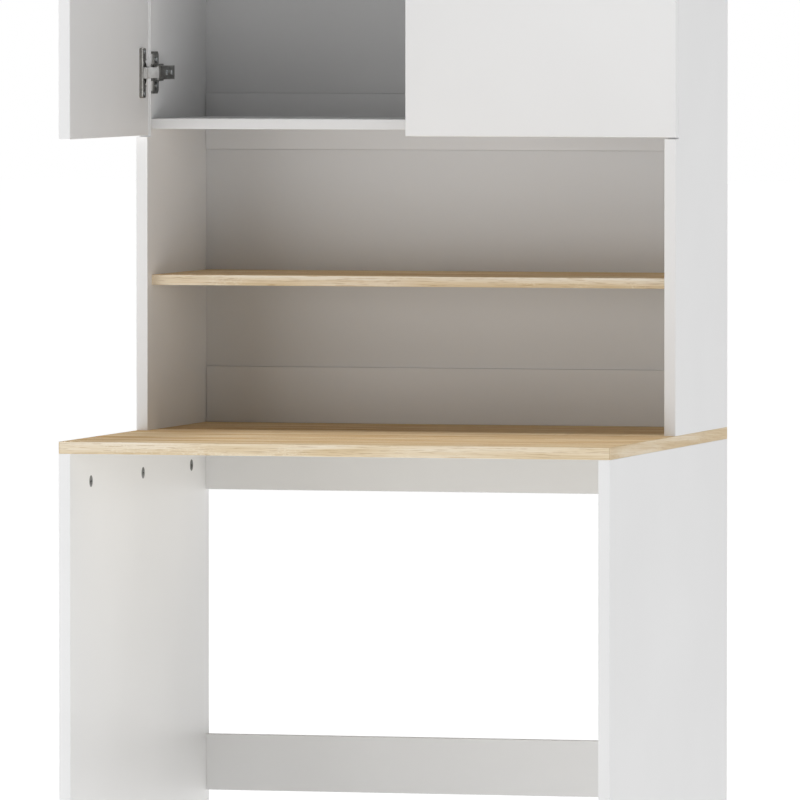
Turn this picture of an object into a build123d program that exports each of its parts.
from build123d import *
from math import atan2, cos, degrees, radians, sin, sqrt
import os

os.makedirs("parts", exist_ok=True)

# Tall cabinet that stands over a washing machine: a deep stand with a worktop, and a
# shallower top unit with two open niches and a two-door cupboard.
# X runs from left to right, Y from front to back and Z up. The origin is on the floor,
# in the middle of the cabinet's outline. The left door is built open by a quarter turn,
# and the right door closed.

# Outline
width = 710.0
depth = 640.0
worktop_top = 915.0
top_unit_height = 985.0
top_unit_depth = 289.0

# Boards
board = 15.0
shelf_board = 13.0
back_board = 3.0
door_board = 15.0
board_round = 0.6
door_round = 1.0

# Rails across the back
rail_height = 73.0
lower_rail_bottom = 434.0
middle_rail_rise = 356.0
groove_depth = 6.0
back_board_setback = 3.0
groove_play = 0.15
back_board_play = 0.5

# Shelves of the top unit, as heights of their upper faces over the worktop
oak_shelf_rise = 199.0
cupboard_floor_rise = 399.0
loose_shelf_rise = 690.0
shelf_setback = 3.0
loose_shelf_setback = 13.0
loose_shelf_play = 1.0
loose_shelf_depth = 240.0

# Doors
door_drop = 8.0
door_top_gap = 3.0
doors_gap = 2.2
door_play = 1.0
notch_ledge_gap = 2.0

# Floor glides, one near each end of the two lower panels
glide_height = 5.0
glide_radius = 7.0
glide_inset = 30.0
nail_radius = 1.0
nail_length = 14.0
nail_sunk = 2.0

# Fastener fits
snug = 0.05
running = 0.06

# Cam fittings
cam_radius = 7.5
cam_play = 0.1
cam_slot_radius = 3.7
cam_cross_long = 8.4
cam_cross_wide = 1.5
cam_cross_deep = 1.6
cam_reach = 24.0
cam_past_bolt = 0.9
leg_cam_reach = 38.5
leg_cam_setbacks = (93.0, 330.0, 557.0)
shelf_cam_inset = 50.0
shelf_dowel_inset = 82.0
rail_cam_shift = 18.0
bolt_thread_radius = 3.1
bolt_thread_length = 11.0
bolt_shaft_radius = 2.0
bolt_head_radius = 3.2
bolt_head_length = 3.0
bolt_collar_length = 1.0
bolt_bore_radius = 3.6

# Dowels
dowel_radius = 3.0
dowel_length = 30.0
dowel_in_face = 10.0
leg_dowel_setbacks = (190.0, 450.0)

# Screws that hold the top unit on the worktop
stand_screw_length = 50.0
stand_screw_shank_radius = 3.5
stand_screw_thread_radius = 2.5
stand_screw_head_radius = 5.0
stand_screw_head_length = 3.5
stand_screw_insets = (44.0, 144.0, 244.0)
stand_screw_socket = 2.0
stand_screw_socket_depth = 3.0

# Holes in the top rail for the screws that hold the cabinet to a wall
wall_hole_radius = 3.0
wall_hole_spacing = 560.0

# Pins of the loose shelf
shelf_pin_radius = 2.5
shelf_pin_in_panel = 9.0
shelf_pin_tongue = 9.5
shelf_pin_tongue_width = 8.0
shelf_pin_tongue_height = 3.0
shelf_pin_inset = 35.0

# Cushions that the closed doors rest against
bumper_radius = 4.0
bumper_play = 0.1
bumper_from_middle = 30.0

# Concealed hinges. Plan measures start at the cabinet's outer side or at the front edge
# of its side panel.
hinge_inset = 80.0
open_gap = 11.7
arm_pin_in = 12.0
arm_pin_ahead = 10.2
cup_pin_swing = 13.0
pin_radius = 1.2
knuckle_radius = 2.2
link_waist_bearing = -53.0
link_height = 14.0
link_play = 0.3

# Hinge cup, in the door
cup_bore_radius = 17.5
cup_from_edge = 22.5
cup_depth = 12.5
cup_wall = 0.8
cup_floor = 0.5
cup_boss = 2.2
flange_rise = 4.9
flange_length = 64.0
flange_width = 15.0
flange_offset = 11.0
flange_round = 1.8
flange_corner = 3.0
collar_radius = 18.3
collar_rise = 3.0
collar_round = 1.2
flange_from_panel = 3.3
cup_screw_spacing = 52.0
cup_screw_radius = 1.6
cup_screw_length = 14.0
cup_screw_head_radius = 3.2
cup_screw_head_rise = 0.8

# Damper that sits in the far side of the cup and hooks over its flange
damper_width = 5.0
damper_from_wall = 0.3
damper_lip = 5.0

# Hinge arm, on the side panel
arm_top = 15.0
arm_wall = 1.5
arm_length = 60.0
arm_nose_radius = 2.4
arm_web_start = 3.2
arm_lift = 2.5
arm_root_behind = 5.0
arm_screw_radius = 1.7
arm_screw_head_radius = 3.4
arm_screw_head_rise = 1.5
arm_screw_setbacks = (20.0, 44.0)

# Mounting plate under the arm
plate_sheet = 2.0
plate_setback = 0.6
plate_length = 52.0
plate_core_width = 22.0
wing_length = 54.0
wing_setback = 7.5
wing_width = 22.5
wing_hook = 3.2
wing_chamfer = 4.0
saddle_width = 13.6
saddle_setback = 9.0
plate_screw_spacing = 32.0
plate_screw_setback = 17.0
plate_screw_radius = 1.9
plate_screw_length = 12.0
plate_screw_head_radius = 3.4
plate_screw_head_rise = 1.8

# Recess of every small cross-head screw
cross_long = 3.8
cross_wide = 0.9
cross_deep = 1.0

# Places that follow from the sizes above
front = -depth / 2
back = depth / 2
outer = width / 2
inner = outer - board
mid_board = outer - board / 2
underside = worktop_top - board
total_height = worktop_top + top_unit_height
rail_face = back - board
back_face = rail_face + back_board_setback
top_unit_front = back - top_unit_depth
door_inner_face = top_unit_front + door_board
panel_edge = door_inner_face + door_play
shelf_front = panel_edge + shelf_setback
cupboard_floor_top = worktop_top + cupboard_floor_rise
door_bottom = cupboard_floor_top - shelf_board - door_drop
door_top = total_height - door_top_gap
door_width = outer - doors_gap / 2
notch_bottom = door_bottom - notch_ledge_gap
top_panel_bottom = total_height - board
top_rail_bottom = top_panel_bottom - rail_height
middle_rail_bottom = worktop_top + middle_rail_rise
middle_rail_top = middle_rail_bottom + rail_height
hinge_levels = {"lower": door_bottom + hinge_inset, "upper": door_top - hinge_inset}
sides = {"left": -1, "right": 1}


def block(low, high, mode=Mode.ADD):
    """Adds a box that spans two opposite corners."""
    with Locations(tuple((a + b) / 2 for a, b in zip(low, high))):
        Box(*(abs(b - a) for a, b in zip(low, high)), mode=mode)


def rods(starts, along, radius, length, mode=Mode.ADD):
    """Adds round rods that run from their start points along one direction."""
    with Locations(*[Plane(origin=start, z_dir=along) for start in starts]):
        Cylinder(radius, length, align=(Align.CENTER, Align.CENTER, Align.MIN), mode=mode)


def drill(mouths, outward, radius, bore_depth):
    """Bores blind holes from their mouths, against the outward direction."""
    with Locations(*[Plane(origin=mouth, z_dir=outward) for mouth in mouths]):
        Hole(radius, bore_depth)


def cross_recess(faces, outward, long, wide, deep):
    """Cuts a cross-shaped driver recess into each round head."""
    with Locations(*[Plane(origin=face, z_dir=outward) for face in faces]):
        for turned in (0, 90):
            Box(long, wide, 2 * deep, rotation=(0, 0, turned), mode=Mode.SUBTRACT)


def plain_board(low, high, edge_round):
    """Makes a board with slightly rounded edges."""
    with BuildPart() as plain:
        block(low, high)
        fillet(plain.edges(), edge_round)
    return plain


# Places of the fittings. Each entry is a mouth on the joint between two boards, and the
# side tells which panel it belongs to.

leg_cam_ys = [front + setback for setback in leg_cam_setbacks]
leg_dowel_ys = [front + setback for setback in leg_dowel_setbacks]
leg_cam_z = underside - leg_cam_reach
stand_screw_ys = [top_unit_front + inset for inset in stand_screw_insets]
rail_mid_y = rail_face + board / 2

rails = {
    "apron_rail": underside - rail_height,
    "lower_back_rail": lower_rail_bottom,
    "niche_back_rail": worktop_top,
    "middle_back_rail": middle_rail_bottom,
    "top_back_rail": top_rail_bottom,
}

fixed_shelves = {
    "oak_shelf": (worktop_top + oak_shelf_rise, shelf_board, shelf_front, back_face),
    "cupboard_floor": (cupboard_floor_top, shelf_board, shelf_front, rail_face),
    "top_panel": (total_height, board, panel_edge, back),
}


def rail_cam_z(bottom):
    """Height of a rail's cam."""
    return bottom + rail_height / 2 - rail_cam_shift


def rail_dowel_z(bottom):
    """Height of a rail's dowel."""
    return bottom + rail_height / 2 + rail_cam_shift


def shelf_ys(shelf, inset):
    """The two depths of a fixed shelf's fittings at a given inset from its edges."""
    _, _, shelf_start, shelf_end = shelf
    return (shelf_start + inset, shelf_end - inset)


def shelf_mid_z(shelf):
    """Height of a fixed shelf's middle."""
    top, thickness, _, _ = shelf
    return top - thickness / 2


def rail_joints(names):
    """Bolt and dowel mouths of the named rails on a panel's inner face."""
    bolts = [(rail_mid_y, rail_cam_z(rails[name])) for name in names]
    dowels = [(rail_mid_y, rail_dowel_z(rails[name])) for name in names]
    return bolts, dowels


def shelf_joints():
    """Bolt and dowel mouths of the fixed shelves on a panel's inner face."""
    bolts = []
    dowels = []
    for shelf in fixed_shelves.values():
        bolts += [(y, shelf_mid_z(shelf)) for y in shelf_ys(shelf, shelf_cam_inset)]
        dowels += [(y, shelf_mid_z(shelf)) for y in shelf_ys(shelf, shelf_dowel_inset)]
    return bolts, dowels


def cam_depth(thickness):
    """Depth of a cam in a board, which reaches past the bolt in the board's middle."""
    return thickness / 2 + bolt_bore_radius + cam_past_bolt


def bore_bolts(mouths, outward):
    """Bores the threaded holes of cam bolts."""
    drill(mouths, outward, bolt_thread_radius + snug, bolt_thread_length + snug)


def bore_dowels(mouths, outward, dowel_part):
    """Bores the holes for one end of some dowels."""
    drill(mouths, outward, dowel_radius + snug, dowel_part + snug)


def bore_inner_face(side, bolts, dowels):
    """Bores the bolt and dowel holes into the inner face of a side panel."""
    face = side * inner
    bore_bolts([(face, y, z) for y, z in bolts], (-side, 0, 0))
    bore_dowels([(face, y, z) for y, z in dowels], (-side, 0, 0), dowel_in_face)


# Stand

lower_rails = ("apron_rail", "lower_back_rail")
upper_rails = ("niche_back_rail", "middle_back_rail", "top_back_rail")
glide_ys = (front + glide_inset, back - glide_inset)


def leg_panel(side):
    """Deep side panel of the stand, with three cams under the worktop."""
    plain = plain_board((side * inner, front, glide_height), (side * outer, back, underside), board_round)
    with BuildPart() as panel:
        add(plain.part)
        cam_mouths = [(side * inner, y, leg_cam_z) for y in leg_cam_ys]
        drill(cam_mouths, (-side, 0, 0), cam_radius, cam_depth(board) + cam_play)
        bolt_mouths = [(side * mid_board, y, underside) for y in leg_cam_ys]
        drill(bolt_mouths, (0, 0, 1), bolt_bore_radius, leg_cam_reach)
        dowel_mouths = [(side * mid_board, y, underside) for y in leg_dowel_ys]
        bore_dowels(dowel_mouths, (0, 0, 1), dowel_length - dowel_in_face)
        nail_mouths = [(side * mid_board, y, glide_height) for y in glide_ys]
        drill(nail_mouths, (0, 0, -1), nail_radius + snug, nail_length)
        bore_inner_face(side, *rail_joints(lower_rails))
    return panel


def worktop():
    """Worktop over the washing machine, bored from below for its fittings."""
    plain = plain_board((-outer, front, underside), (outer, back, worktop_top), board_round)
    with BuildPart() as top:
        add(plain.part)
        for side in sides.values():
            x = side * mid_board
            bore_bolts([(x, y, underside) for y in leg_cam_ys], (0, 0, -1))
            bore_dowels([(x, y, underside) for y in leg_dowel_ys], (0, 0, -1), dowel_in_face)
            with Locations(*[Plane(origin=(x, y, underside), z_dir=(0, 0, -1)) for y in stand_screw_ys]):
                Hole(stand_screw_shank_radius + snug)
                Cone(stand_screw_shank_radius + snug, stand_screw_head_radius + snug,
                     stand_screw_head_length, align=(Align.CENTER, Align.CENTER, Align.MAX),
                     mode=Mode.SUBTRACT)
    return top


def floor_glides():
    """Round plastic glides under the stand."""
    with BuildPart() as glides:
        for side in sides.values():
            for y in glide_ys:
                rods([(side * mid_board, y, 0)], (0, 0, 1), glide_radius, glide_height)
        fillet(glides.edges().group_by(Axis.Z)[0], glide_height / 4)
        for side in sides.values():
            nail_mouths = [(side * mid_board, y, glide_height) for y in glide_ys]
            drill(nail_mouths, (0, 0, 1), nail_radius + snug, glide_height - nail_sunk)
    return glides


def glide_nails():
    """Nails that hold the glides in the panels' lower edges."""
    with BuildPart() as nails:
        for side in sides.values():
            starts = [(side * mid_board, y, nail_sunk) for y in glide_ys]
            rods(starts, (0, 0, 1), nail_radius, nail_length)
    return nails


def stand_screws():
    """Long countersunk screws from the worktop up into the upper panels."""
    with BuildPart() as screws:
        for side in sides.values():
            for y in stand_screw_ys:
                start = (side * mid_board, y, underside)
                rods([start], (0, 0, 1), stand_screw_shank_radius, board)
                rods([start], (0, 0, 1), stand_screw_thread_radius, stand_screw_length)
                with Locations(start):
                    Cone(stand_screw_head_radius, stand_screw_shank_radius, stand_screw_head_length,
                         align=(Align.CENTER, Align.CENTER, Align.MIN))
                with BuildSketch(Plane(origin=start, z_dir=(0, 0, 1))):
                    RegularPolygon(stand_screw_socket, 6)
                extrude(amount=stand_screw_socket_depth, mode=Mode.SUBTRACT)
    return screws


# Rails and back

def back_rail(name):
    """Rail across the back, with cams in its rear face and grooves for the back boards."""
    bottom = rails[name]
    top = bottom + rail_height
    plain = plain_board((-inner, rail_face, bottom), (inner, back, top), board_round)
    with BuildPart() as rail:
        add(plain.part)
        for side in sides.values():
            cam_mouth = (side * (inner - cam_reach), back, rail_cam_z(bottom))
            drill([cam_mouth], (0, 1, 0), cam_radius, cam_depth(board) + cam_play)
            bolt_mouth = (side * inner, rail_mid_y, rail_cam_z(bottom))
            drill([bolt_mouth], (side, 0, 0), bolt_bore_radius, cam_reach)
            dowel_mouth = (side * inner, rail_mid_y, rail_dowel_z(bottom))
            bore_dowels([dowel_mouth], (side, 0, 0), dowel_length - dowel_in_face)
        if name in ("niche_back_rail", "middle_back_rail"):
            rail_groove(top - groove_depth, top)
        if name in ("middle_back_rail", "top_back_rail"):
            rail_groove(bottom, bottom + groove_depth)
        if name == "top_back_rail":
            ends = [side * wall_hole_spacing / 2 for side in sides.values()]
            wall_mouths = [(x, rail_face, bottom + rail_height / 2) for x in ends]
            drill(wall_mouths, (0, -1, 0), wall_hole_radius, 2 * board)
    return rail


def rail_groove(low, high):
    """Cuts the groove that holds a back board along one edge of a rail."""
    groove_front = back_face - groove_play
    groove_back = back_face + back_board + groove_play
    block((-inner, groove_front, low), (inner, groove_back, high), mode=Mode.SUBTRACT)


def back_panel(low, high):
    """Thin back board that slides in the grooves of two rails and two side panels."""
    reach = groove_depth - back_board_play
    with BuildPart() as panel:
        block((-inner - reach, back_face, low - reach),
              (inner + reach, back_face + back_board, high + reach))
    return panel


# Top unit

def upper_panel(side):
    """Side panel of the top unit, cut back behind the doors and grooved for the back."""
    with BuildPart() as panel:
        with BuildSketch(Plane.YZ.offset(min(side * inner, side * outer))):
            with BuildLine():
                Polyline(
                    (top_unit_front, worktop_top),
                    (back, worktop_top),
                    (back, total_height),
                    (panel_edge, total_height),
                    (panel_edge, notch_bottom),
                    (top_unit_front, notch_bottom),
                    close=True,
                )
            make_face()
        extrude(amount=board)
        fillet(panel.edges(), board_round)
        groove_low = worktop_top + rail_height - groove_depth
        groove_high = top_rail_bottom + groove_depth
        block((side * inner, back_face - groove_play, groove_low),
              (side * (inner + groove_depth), back_face + back_board + groove_play, groove_high),
              mode=Mode.SUBTRACT)
        bolts, dowels = rail_joints(upper_rails)
        shelf_bolts, shelf_dowels = shelf_joints()
        bore_inner_face(side, bolts + shelf_bolts, dowels + shelf_dowels)
        screw_mouths = [(side * mid_board, y, worktop_top) for y in stand_screw_ys]
        drill(screw_mouths, (0, 0, -1), stand_screw_thread_radius + snug, stand_screw_length - board + snug)
        drill(shelf_pin_mouths(side), (-side, 0, 0), shelf_pin_radius + snug, shelf_pin_in_panel + snug)
        plate_mouths = [(side * inner, y, z) for y, z in plate_screw_places()]
        drill(plate_mouths, (-side, 0, 0), plate_screw_radius + snug, plate_screw_length + snug)
    return panel


def fixed_shelf(name):
    """Shelf or top held between the side panels by cams in its lower face."""
    shelf = fixed_shelves[name]
    top, thickness, shelf_start, shelf_end = shelf
    low = (-inner, shelf_start, top - thickness)
    plain = plain_board(low, (inner, shelf_end, top), board_round)
    with BuildPart() as fixed:
        add(plain.part)
        for side in sides.values():
            for y in shelf_ys(shelf, shelf_cam_inset):
                cam_mouth = (side * (inner - cam_reach), y, top - thickness)
                drill([cam_mouth], (0, 0, -1), cam_radius, cam_depth(thickness) + cam_play)
                bolt_mouth = (side * inner, y, shelf_mid_z(shelf))
                drill([bolt_mouth], (side, 0, 0), bolt_bore_radius, cam_reach)
            dowel_ys = shelf_ys(shelf, shelf_dowel_inset)
            dowel_mouths = [(side * inner, y, shelf_mid_z(shelf)) for y in dowel_ys]
            bore_dowels(dowel_mouths, (side, 0, 0), dowel_length - dowel_in_face)
    return fixed


def loose_shelf():
    """Shelf inside the cupboard that lies on four pins."""
    top = worktop_top + loose_shelf_rise
    reach = inner - loose_shelf_play
    start = panel_edge + loose_shelf_setback
    low = (-reach, start, top - shelf_board)
    return plain_board(low, (reach, start + loose_shelf_depth, top), board_round)


def shelf_pin_mouths(side):
    """Where the loose shelf's pins enter a side panel."""
    start = panel_edge + loose_shelf_setback
    ys = (start + shelf_pin_inset, start + loose_shelf_depth - shelf_pin_inset)
    z = worktop_top + loose_shelf_rise - shelf_board - shelf_pin_tongue_height / 2
    return [(side * inner, y, z) for y in ys]


def shelf_pins():
    """Pins with a flat tongue that carry the loose shelf."""
    with BuildPart() as pins:
        for side in sides.values():
            for x, y, z in shelf_pin_mouths(side):
                rods([(x, y, z)], (side, 0, 0), shelf_pin_radius, shelf_pin_in_panel)
                tongue_end = x - side * shelf_pin_tongue
                block((x, y - shelf_pin_tongue_width / 2, z - shelf_pin_tongue_height / 2),
                      (tongue_end, y + shelf_pin_tongue_width / 2, z + shelf_pin_tongue_height / 2))
    return pins


def door_bumpers():
    """Soft round pads on the top panel's front edge, one for each door."""
    z = total_height - board / 2
    with BuildPart() as bumpers:
        starts = [(side * bumper_from_middle, panel_edge, z) for side in sides.values()]
        rods(starts, (0, -1, 0), bumper_radius, door_play - bumper_play)
    return bumpers


# Cams, bolts and dowels

def add_cam(mouth, outward, to_bolt, thickness):
    """Adds a cam disc with its driver cross and the slot that takes the bolt's head."""
    mouth = Vector(*mouth)
    outward = Vector(*outward)
    to_bolt = Vector(*to_bolt)
    rods([mouth], -outward, cam_radius - cam_play, cam_depth(thickness))
    cross_recess([mouth], outward, cam_cross_long, cam_cross_wide, cam_cross_deep)
    slot_start = mouth - outward * thickness / 2 - to_bolt * (bolt_head_length + cam_play)
    rods([slot_start], to_bolt, cam_slot_radius, 2 * cam_radius, mode=Mode.SUBTRACT)


def add_bolt(mouth, into_cam, reach):
    """Adds a cam bolt: thread in one board, shaft and head in the other."""
    mouth = Vector(*mouth)
    into_cam = Vector(*into_cam)
    rods([mouth], -into_cam, bolt_thread_radius, bolt_thread_length)
    rods([mouth], into_cam, bolt_head_radius, bolt_collar_length)
    rods([mouth], into_cam, bolt_shaft_radius, reach)
    head_start = mouth + into_cam * (reach - bolt_head_length / 2)
    rods([head_start], into_cam, bolt_head_radius, bolt_head_length)


def worktop_cams():
    """Cams of the stand's side panels, seen from inside the machine bay."""
    with BuildPart() as cams:
        for side in sides.values():
            for y in leg_cam_ys:
                add_cam((side * inner, y, leg_cam_z), (-side, 0, 0), (0, 0, 1), board)
    return cams


def worktop_bolts():
    """Bolts under the worktop."""
    with BuildPart() as bolts:
        for side in sides.values():
            for y in leg_cam_ys:
                add_bolt((side * mid_board, y, underside), (0, 0, -1), leg_cam_reach)
    return bolts


def rail_cams():
    """Cams in the rear faces of the rails."""
    with BuildPart() as cams:
        for bottom in rails.values():
            for side in sides.values():
                mouth = (side * (inner - cam_reach), back, rail_cam_z(bottom))
                add_cam(mouth, (0, 1, 0), (side, 0, 0), board)
    return cams


def rail_bolts():
    """Bolts between the side panels and the rails."""
    with BuildPart() as bolts:
        for bottom in rails.values():
            for side in sides.values():
                add_bolt((side * inner, rail_mid_y, rail_cam_z(bottom)), (-side, 0, 0), cam_reach)
    return bolts


def shelf_cams():
    """Cams in the lower faces of the fixed shelves and the top panel."""
    with BuildPart() as cams:
        for shelf in fixed_shelves.values():
            top, thickness, _, _ = shelf
            for side in sides.values():
                for y in shelf_ys(shelf, shelf_cam_inset):
                    mouth = (side * (inner - cam_reach), y, top - thickness)
                    add_cam(mouth, (0, 0, -1), (side, 0, 0), thickness)
    return cams


def shelf_bolts():
    """Bolts between the side panels and the fixed shelves."""
    with BuildPart() as bolts:
        for shelf in fixed_shelves.values():
            for side in sides.values():
                for y in shelf_ys(shelf, shelf_cam_inset):
                    add_bolt((side * inner, y, shelf_mid_z(shelf)), (-side, 0, 0), cam_reach)
    return bolts


def worktop_dowels():
    """Dowels between the side panels of the stand and the worktop."""
    with BuildPart() as dowels:
        for side in sides.values():
            starts = [(side * mid_board, y, underside + dowel_in_face) for y in leg_dowel_ys]
            rods(starts, (0, 0, -1), dowel_radius, dowel_length)
    return dowels


def side_dowels(mouths):
    """Dowels that lie across the joint between a side panel and a board's end."""
    with BuildPart() as dowels:
        for side in sides.values():
            starts = [(side * (inner + dowel_in_face), y, z) for y, z in mouths]
            rods(starts, (-side, 0, 0), dowel_radius, dowel_length)
    return dowels


# Doors and hinges. Every hinge piece is first laid out for the left side with the door
# closed. In plan the open door's inner face lines up with the panel's inner face.

hinge_outer = -outer
hinge_inner = -inner
quarter = 90.0
open_end = panel_edge - open_gap
pole = (
    (hinge_inner - door_inner_face + open_end + hinge_outer) / 2,
    (open_end + door_inner_face + hinge_outer - hinge_inner) / 2,
)
arm_pin = (hinge_inner + arm_pin_in, panel_edge - arm_pin_ahead)


def bearing(start, end):
    """Direction in plan from one point to another, in degrees."""
    return degrees(atan2(end[1] - start[1], end[0] - start[0]))


def polar(centre, radius, direction):
    """Plan point at a distance and direction from another."""
    return (centre[0] + radius * cos(radians(direction)), centre[1] + radius * sin(radians(direction)))


# The cup pin lies half of the door's quarter turn to either side of the line from the
# turning centre to the arm pin, so the link keeps its length in both positions.
arm_bearing = bearing(pole, arm_pin)
cup_pin_open = polar(pole, cup_pin_swing, arm_bearing - quarter / 2)
cup_pin = polar(pole, cup_pin_swing, arm_bearing + quarter / 2)
link_swing = (bearing(arm_pin, cup_pin_open) - bearing(arm_pin, cup_pin)) % 360
cup_x = hinge_outer + cup_from_edge
floor_y = door_inner_face - cup_depth + cup_floor
arm_face = hinge_inner + arm_top
flange_screw_x = cup_x + flange_offset
arm_half = link_height / 2 + link_play + arm_wall


def turn_about(centre, turned):
    """Location that turns a piece about an upright axis through a plan point."""
    x, y = centre
    return Pos(x, y, 0) * Rot(0, 0, turned) * Pos(-x, -y, 0)


door_swing = {"left": turn_about(pole, -quarter), "right": Location()}
link_swings = {"left": turn_about(arm_pin, link_swing), "right": Location()}
no_swing = {"left": Location(), "right": Location()}


def hung(piece, side_name, swings):
    """Copies a closed left-hand piece to its side, in that side's rest position."""
    with BuildPart() as placed:
        add(piece.part.moved(swings[side_name]))
        if side_name == "right":
            mirror(about=Plane.YZ, mode=Mode.REPLACE)
    return placed


def door():
    """Slab door with two cup bores and the cup screws' pilot holes."""
    plain = plain_board((hinge_outer, top_unit_front, door_bottom),
                        (hinge_outer + door_width, door_inner_face, door_top), door_round)
    pilot_depth = cup_screw_length - flange_rise + cup_screw_head_rise
    with BuildPart() as slab:
        add(plain.part)
        for level in hinge_levels.values():
            drill([(cup_x, door_inner_face, level)], (0, 1, 0), cup_bore_radius, cup_depth)
            pilots = [(flange_screw_x, door_inner_face, level + rise) for rise in cup_screw_rises()]
            drill(pilots, (0, 1, 0), cup_screw_radius + snug, pilot_depth)
    return slab


def cup_screw_rises():
    """Heights of a cup's two screws over the hinge's middle."""
    return (-cup_screw_spacing / 2, cup_screw_spacing / 2)


def plate_screw_rises():
    """Heights of a mounting plate's two screws over the hinge's middle."""
    return (-plate_screw_spacing / 2, plate_screw_spacing / 2)


def plate_screw_places():
    """Depths and heights of all mounting plate screws on a side panel."""
    y = panel_edge + plate_screw_setback
    return [(y, level + rise) for level in hinge_levels.values() for rise in plate_screw_rises()]


def hinge_cup(level):
    """Cup with its raised flange and the two inner bosses that hold the cup pin."""
    rim = Plane(origin=(cup_x, door_inner_face, level), x_dir=(1, 0, 0), z_dir=(0, 1, 0))
    with BuildPart() as flange:
        with BuildSketch(rim):
            with Locations((flange_offset, 0)):
                RectangleRounded(flange_width, flange_length, flange_corner)
        extrude(amount=flange_rise)
        fillet(flange.edges().group_by(Axis.Y)[-1], flange_round)
    with BuildPart() as collar:
        rods([rim.origin], (0, 1, 0), collar_radius, collar_rise)
        fillet(collar.edges().group_by(Axis.Y)[-1], collar_round)
        flat = hinge_inner + flange_from_panel
        block((flat - 2 * collar_radius, door_inner_face, level - collar_radius),
              (flat, door_inner_face + collar_rise, level + collar_radius), mode=Mode.SUBTRACT)
    with BuildPart() as cup:
        add(flange.part)
        add(collar.part)
        rods([(cup_x, door_inner_face, level)], (0, -1, 0), cup_bore_radius - snug, cup_depth - snug)
        rods([(cup_x, floor_y, level)], (0, 1, 0), cup_bore_radius - cup_wall, 2 * cup_depth,
             mode=Mode.SUBTRACT)
        add(cup_bosses(level).part)
        rods([(*cup_pin, level - cup_bore_radius)], (0, 0, 1), pin_radius + running, 2 * cup_bore_radius,
             mode=Mode.SUBTRACT)
        flange_top = door_inner_face + flange_rise
        screw_mouths = [(flange_screw_x, flange_top, level + rise) for rise in cup_screw_rises()]
        drill(screw_mouths, (0, 1, 0), cup_screw_radius + snug, 2 * flange_rise)
    return cup


def cup_bosses(level):
    """Two upright bosses beside the link, trimmed to the cup's round wall."""
    inside = link_height / 2 + link_play
    with BuildPart() as bosses:
        for up in (-1, 1):
            block((cup_pin[0] - knuckle_radius, floor_y - cup_floor / 2, level + up * inside),
                  (cup_pin[0] + knuckle_radius, door_inner_face, level + up * (inside + cup_boss)))
        rods([(cup_x, door_inner_face, level)], (0, -1, 0), cup_bore_radius - cup_wall / 2, cup_depth,
             mode=Mode.INTERSECT)
    return bosses


def hinge_link(level):
    """Hooked link between the arm pin and the cup pin."""
    floor_line = floor_y + link_play
    with BuildPart() as link:
        with BuildSketch(Plane.XY.offset(level - link_height / 2)):
            with BuildLine():
                Polyline(
                    (arm_pin[0], floor_line),
                    (cup_pin[0] + knuckle_radius, floor_line),
                    (cup_pin[0] - knuckle_radius, floor_line + knuckle_radius),
                    (cup_pin[0] - knuckle_radius, cup_pin[1]),
                    polar(cup_pin, knuckle_radius, link_waist_bearing),
                    (arm_pin[0], arm_pin[1] + knuckle_radius),
                    close=True,
                )
            make_face()
            with Locations(arm_pin, cup_pin):
                Circle(knuckle_radius)
        extrude(amount=link_height)
        pin_starts = [(*place, level - link_height) for place in (arm_pin, cup_pin)]
        rods(pin_starts, (0, 0, 1), pin_radius + snug / 2, 2 * link_height, mode=Mode.SUBTRACT)
    return link


def hinge_pins():
    """Arm pins and cup pins of one door's hinges, pressed into the links."""
    with BuildPart() as pins:
        for level in hinge_levels.values():
            starts = [(*place, level - arm_half) for place in (arm_pin, cup_pin)]
            rods(starts, (0, 0, 1), pin_radius, 2 * arm_half)
    return pins


def hinge_arm(level):
    """Channel-shaped arm with two cheeks that hold the arm pin in its nose."""
    low = hinge_inner + arm_lift
    rear = panel_edge + arm_length - arm_wall
    nose = arm_nose_radius
    with BuildPart() as arm:
        with BuildSketch(Plane.XY.offset(level - arm_half)):
            with BuildLine():
                Polyline(
                    (arm_pin[0] - nose, arm_pin[1]),
                    (arm_pin[0] + nose, arm_pin[1]),
                    (arm_face, arm_pin[1] + arm_web_start),
                    (arm_face, rear),
                    (low, rear),
                    (low, panel_edge + arm_root_behind),
                    close=True,
                )
            make_face()
            with Locations(arm_pin):
                Circle(nose)
        extrude(amount=2 * arm_half)
        inside = arm_half - arm_wall
        hollow_start = (low - nose, arm_pin[1] - 2 * nose, level - inside)
        block(hollow_start, (arm_face - arm_wall, rear, level + inside), mode=Mode.SUBTRACT)
        block(hollow_start, (arm_face + nose, arm_pin[1] + arm_web_start, level + inside),
              mode=Mode.SUBTRACT)
        rods([(*arm_pin, level - 2 * arm_half)], (0, 0, 1), pin_radius + running, 4 * arm_half,
             mode=Mode.SUBTRACT)
        screw_mouths = [(arm_face, panel_edge + setback, level) for setback in arm_screw_setbacks]
        drill(screw_mouths, (1, 0, 0), arm_screw_radius + snug, 2 * arm_wall)
    return arm


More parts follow.
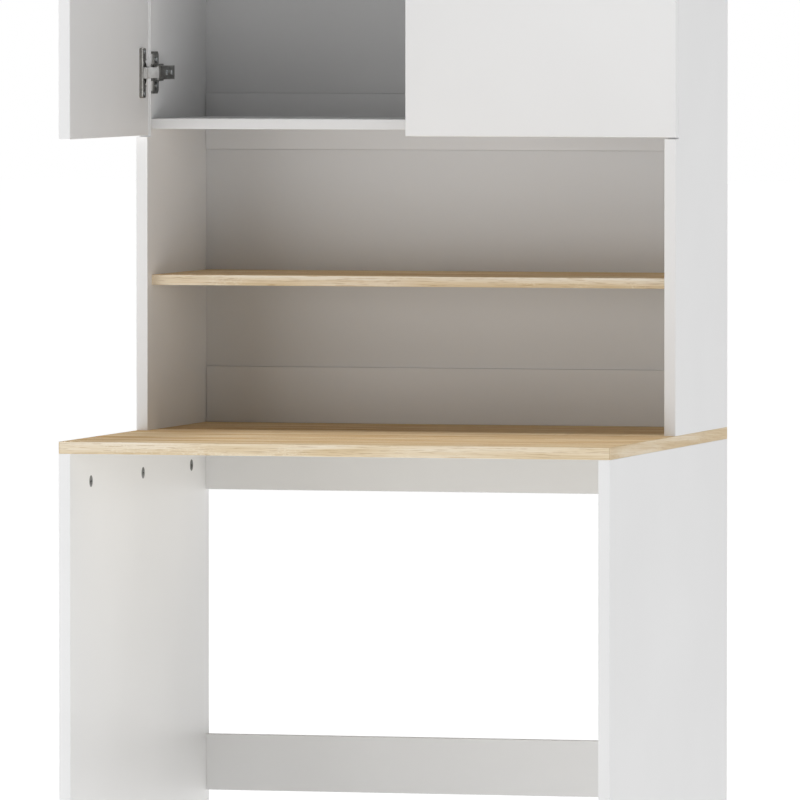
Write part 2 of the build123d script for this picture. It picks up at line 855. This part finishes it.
def mounting_plate(level):
    """Plate on the side panel with two hooked wings and a raised saddle for the arm."""
    start = panel_edge + plate_setback
    wing_start = panel_edge + wing_setback
    wing_end = wing_start + wing_width
    half = wing_length / 2
    face = hinge_inner + plate_sheet
    saddle_face = arm_face - arm_wall
    with BuildPart() as wings:
        block((hinge_inner, wing_start, level - half), (face, wing_end, level + half))
        chamfer(wings.edges().filter_by(Axis.X).group_by(Axis.Y)[-1], wing_chamfer)
    with BuildPart() as plate:
        add(wings.part)
        block((hinge_inner, start, level - plate_core_width / 2),
              (face, start + plate_length, level + plate_core_width / 2))
        for up in (-1, 1):
            block((hinge_inner, start, level + up * (half - wing_hook)),
                  (face, wing_start, level + up * half))
        block((face, panel_edge + saddle_setback, level - saddle_width / 2),
              (saddle_face, start + plate_length, level + saddle_width / 2))
        screw_y = panel_edge + plate_screw_setback
        plate_mouths = [(face, screw_y, level + rise) for rise in plate_screw_rises()]
        drill(plate_mouths, (1, 0, 0), plate_screw_radius + snug, 2 * plate_sheet)
        arm_mouths = [(saddle_face, panel_edge + setback, level) for setback in arm_screw_setbacks]
        drill(arm_mouths, (1, 0, 0), arm_screw_radius + snug, arm_screw_grip() + snug)
    return plate


def arm_screw_grip():
    """How far the arm screws reach into the saddle."""
    return arm_top - arm_wall - plate_sheet


def hinge_damper(level):
    """Damper block in the far side of the cup, hooked over the raised flange."""
    half = link_height / 2
    chord = sqrt((cup_bore_radius - cup_wall) ** 2 - half ** 2)
    far = cup_x + chord - damper_from_wall
    near = far - damper_width
    flange_top = door_inner_face + flange_rise
    lip_end = flange_screw_x + flange_width / 2
    with BuildPart() as damper:
        block((near, floor_y + damper_from_wall, level - half), (far, flange_top + damper_lip, level + half))
        block((near, flange_top + snug, level - half), (lip_end, flange_top + damper_lip, level + half))
    return damper


def cup_screws():
    """Screws that hold both cups of one door."""
    flange_top = door_inner_face + flange_rise
    with BuildPart() as screws:
        heights = [level + rise for level in hinge_levels.values() for rise in cup_screw_rises()]
        starts = [(flange_screw_x, flange_top, z) for z in heights]
        rods(starts, (0, -1, 0), cup_screw_radius, cup_screw_length - cup_screw_head_rise)
        rods(starts, (0, 1, 0), cup_screw_head_radius, cup_screw_head_rise)
        heads = [(flange_screw_x, flange_top + cup_screw_head_rise, z) for z in heights]
        cross_recess(heads, (0, 1, 0), cross_long, cross_wide, cross_deep)
    return screws


def plate_screws():
    """Screws that hold both mounting plates of one side panel."""
    face = hinge_inner + plate_sheet
    with BuildPart() as screws:
        starts = [(face, y, z) for y, z in plate_screw_places()]
        rods(starts, (-1, 0, 0), plate_screw_radius, plate_screw_length)
        rods(starts, (1, 0, 0), plate_screw_head_radius, plate_screw_head_rise)
        heads = [(face + plate_screw_head_rise, y, z) for y, z in plate_screw_places()]
        cross_recess(heads, (1, 0, 0), cross_long, cross_wide, cross_deep)
    return screws


def arm_screws():
    """Fixing and adjusting screws through both arms of one side panel."""
    with BuildPart() as screws:
        places = [(panel_edge + setback, level) for level in hinge_levels.values()
                  for setback in arm_screw_setbacks]
        starts = [(arm_face, y, z) for y, z in places]
        rods(starts, (-1, 0, 0), arm_screw_radius, arm_wall + arm_screw_grip())
        rods(starts, (1, 0, 0), arm_screw_head_radius, arm_screw_head_rise)
        heads = [(arm_face + arm_screw_head_rise, y, z) for y, z in places]
        cross_recess(heads, (1, 0, 0), cross_long, cross_wide, cross_deep)
    return screws


# The whole cabinet

pieces = {
    "left_leg_panel": leg_panel(-1),
    "right_leg_panel": leg_panel(1),
    "worktop": worktop(),
    "floor_glides": floor_glides(),
    "glide_nails": glide_nails(),
    "worktop_cams": worktop_cams(),
    "worktop_bolts": worktop_bolts(),
    "worktop_dowels": worktop_dowels(),
    "stand_screws": stand_screws(),
    "left_upper_panel": upper_panel(-1),
    "right_upper_panel": upper_panel(1),
    "niche_back": back_panel(worktop_top + rail_height, middle_rail_bottom),
    "cupboard_back": back_panel(middle_rail_top, top_rail_bottom),
    "loose_shelf": loose_shelf(),
    "shelf_pins": shelf_pins(),
    "door_bumpers": door_bumpers(),
    "rail_cams": rail_cams(),
    "rail_bolts": rail_bolts(),
    "rail_dowels": side_dowels([(rail_mid_y, rail_dowel_z(bottom)) for bottom in rails.values()]),
    "shelf_cams": shelf_cams(),
    "shelf_bolts": shelf_bolts(),
    "shelf_dowels": side_dowels(shelf_joints()[1]),
}
for name in rails:
    pieces[name] = back_rail(name)
for name in fixed_shelves:
    pieces[name] = fixed_shelf(name)
for side_name in sides:
    pieces[f"{side_name}_door"] = hung(door(), side_name, door_swing)
    pieces[f"{side_name}_cup_screws"] = hung(cup_screws(), side_name, door_swing)
    pieces[f"{side_name}_hinge_pins"] = hung(hinge_pins(), side_name, link_swings)
    pieces[f"{side_name}_plate_screws"] = hung(plate_screws(), side_name, no_swing)
    pieces[f"{side_name}_arm_screws"] = hung(arm_screws(), side_name, no_swing)
    for level_name, level in hinge_levels.items():
        hinge = f"{side_name}_{level_name}"
        pieces[f"{hinge}_cup"] = hung(hinge_cup(level), side_name, door_swing)
        pieces[f"{hinge}_damper"] = hung(hinge_damper(level), side_name, door_swing)
        pieces[f"{hinge}_link"] = hung(hinge_link(level), side_name, link_swings)
        pieces[f"{hinge}_arm"] = hung(hinge_arm(level), side_name, no_swing)
        pieces[f"{hinge}_plate"] = hung(mounting_plate(level), side_name, no_swing)

for name, piece in pieces.items():
    piece.part.label = name
    export_step(piece.part, f"parts/{name}.step")
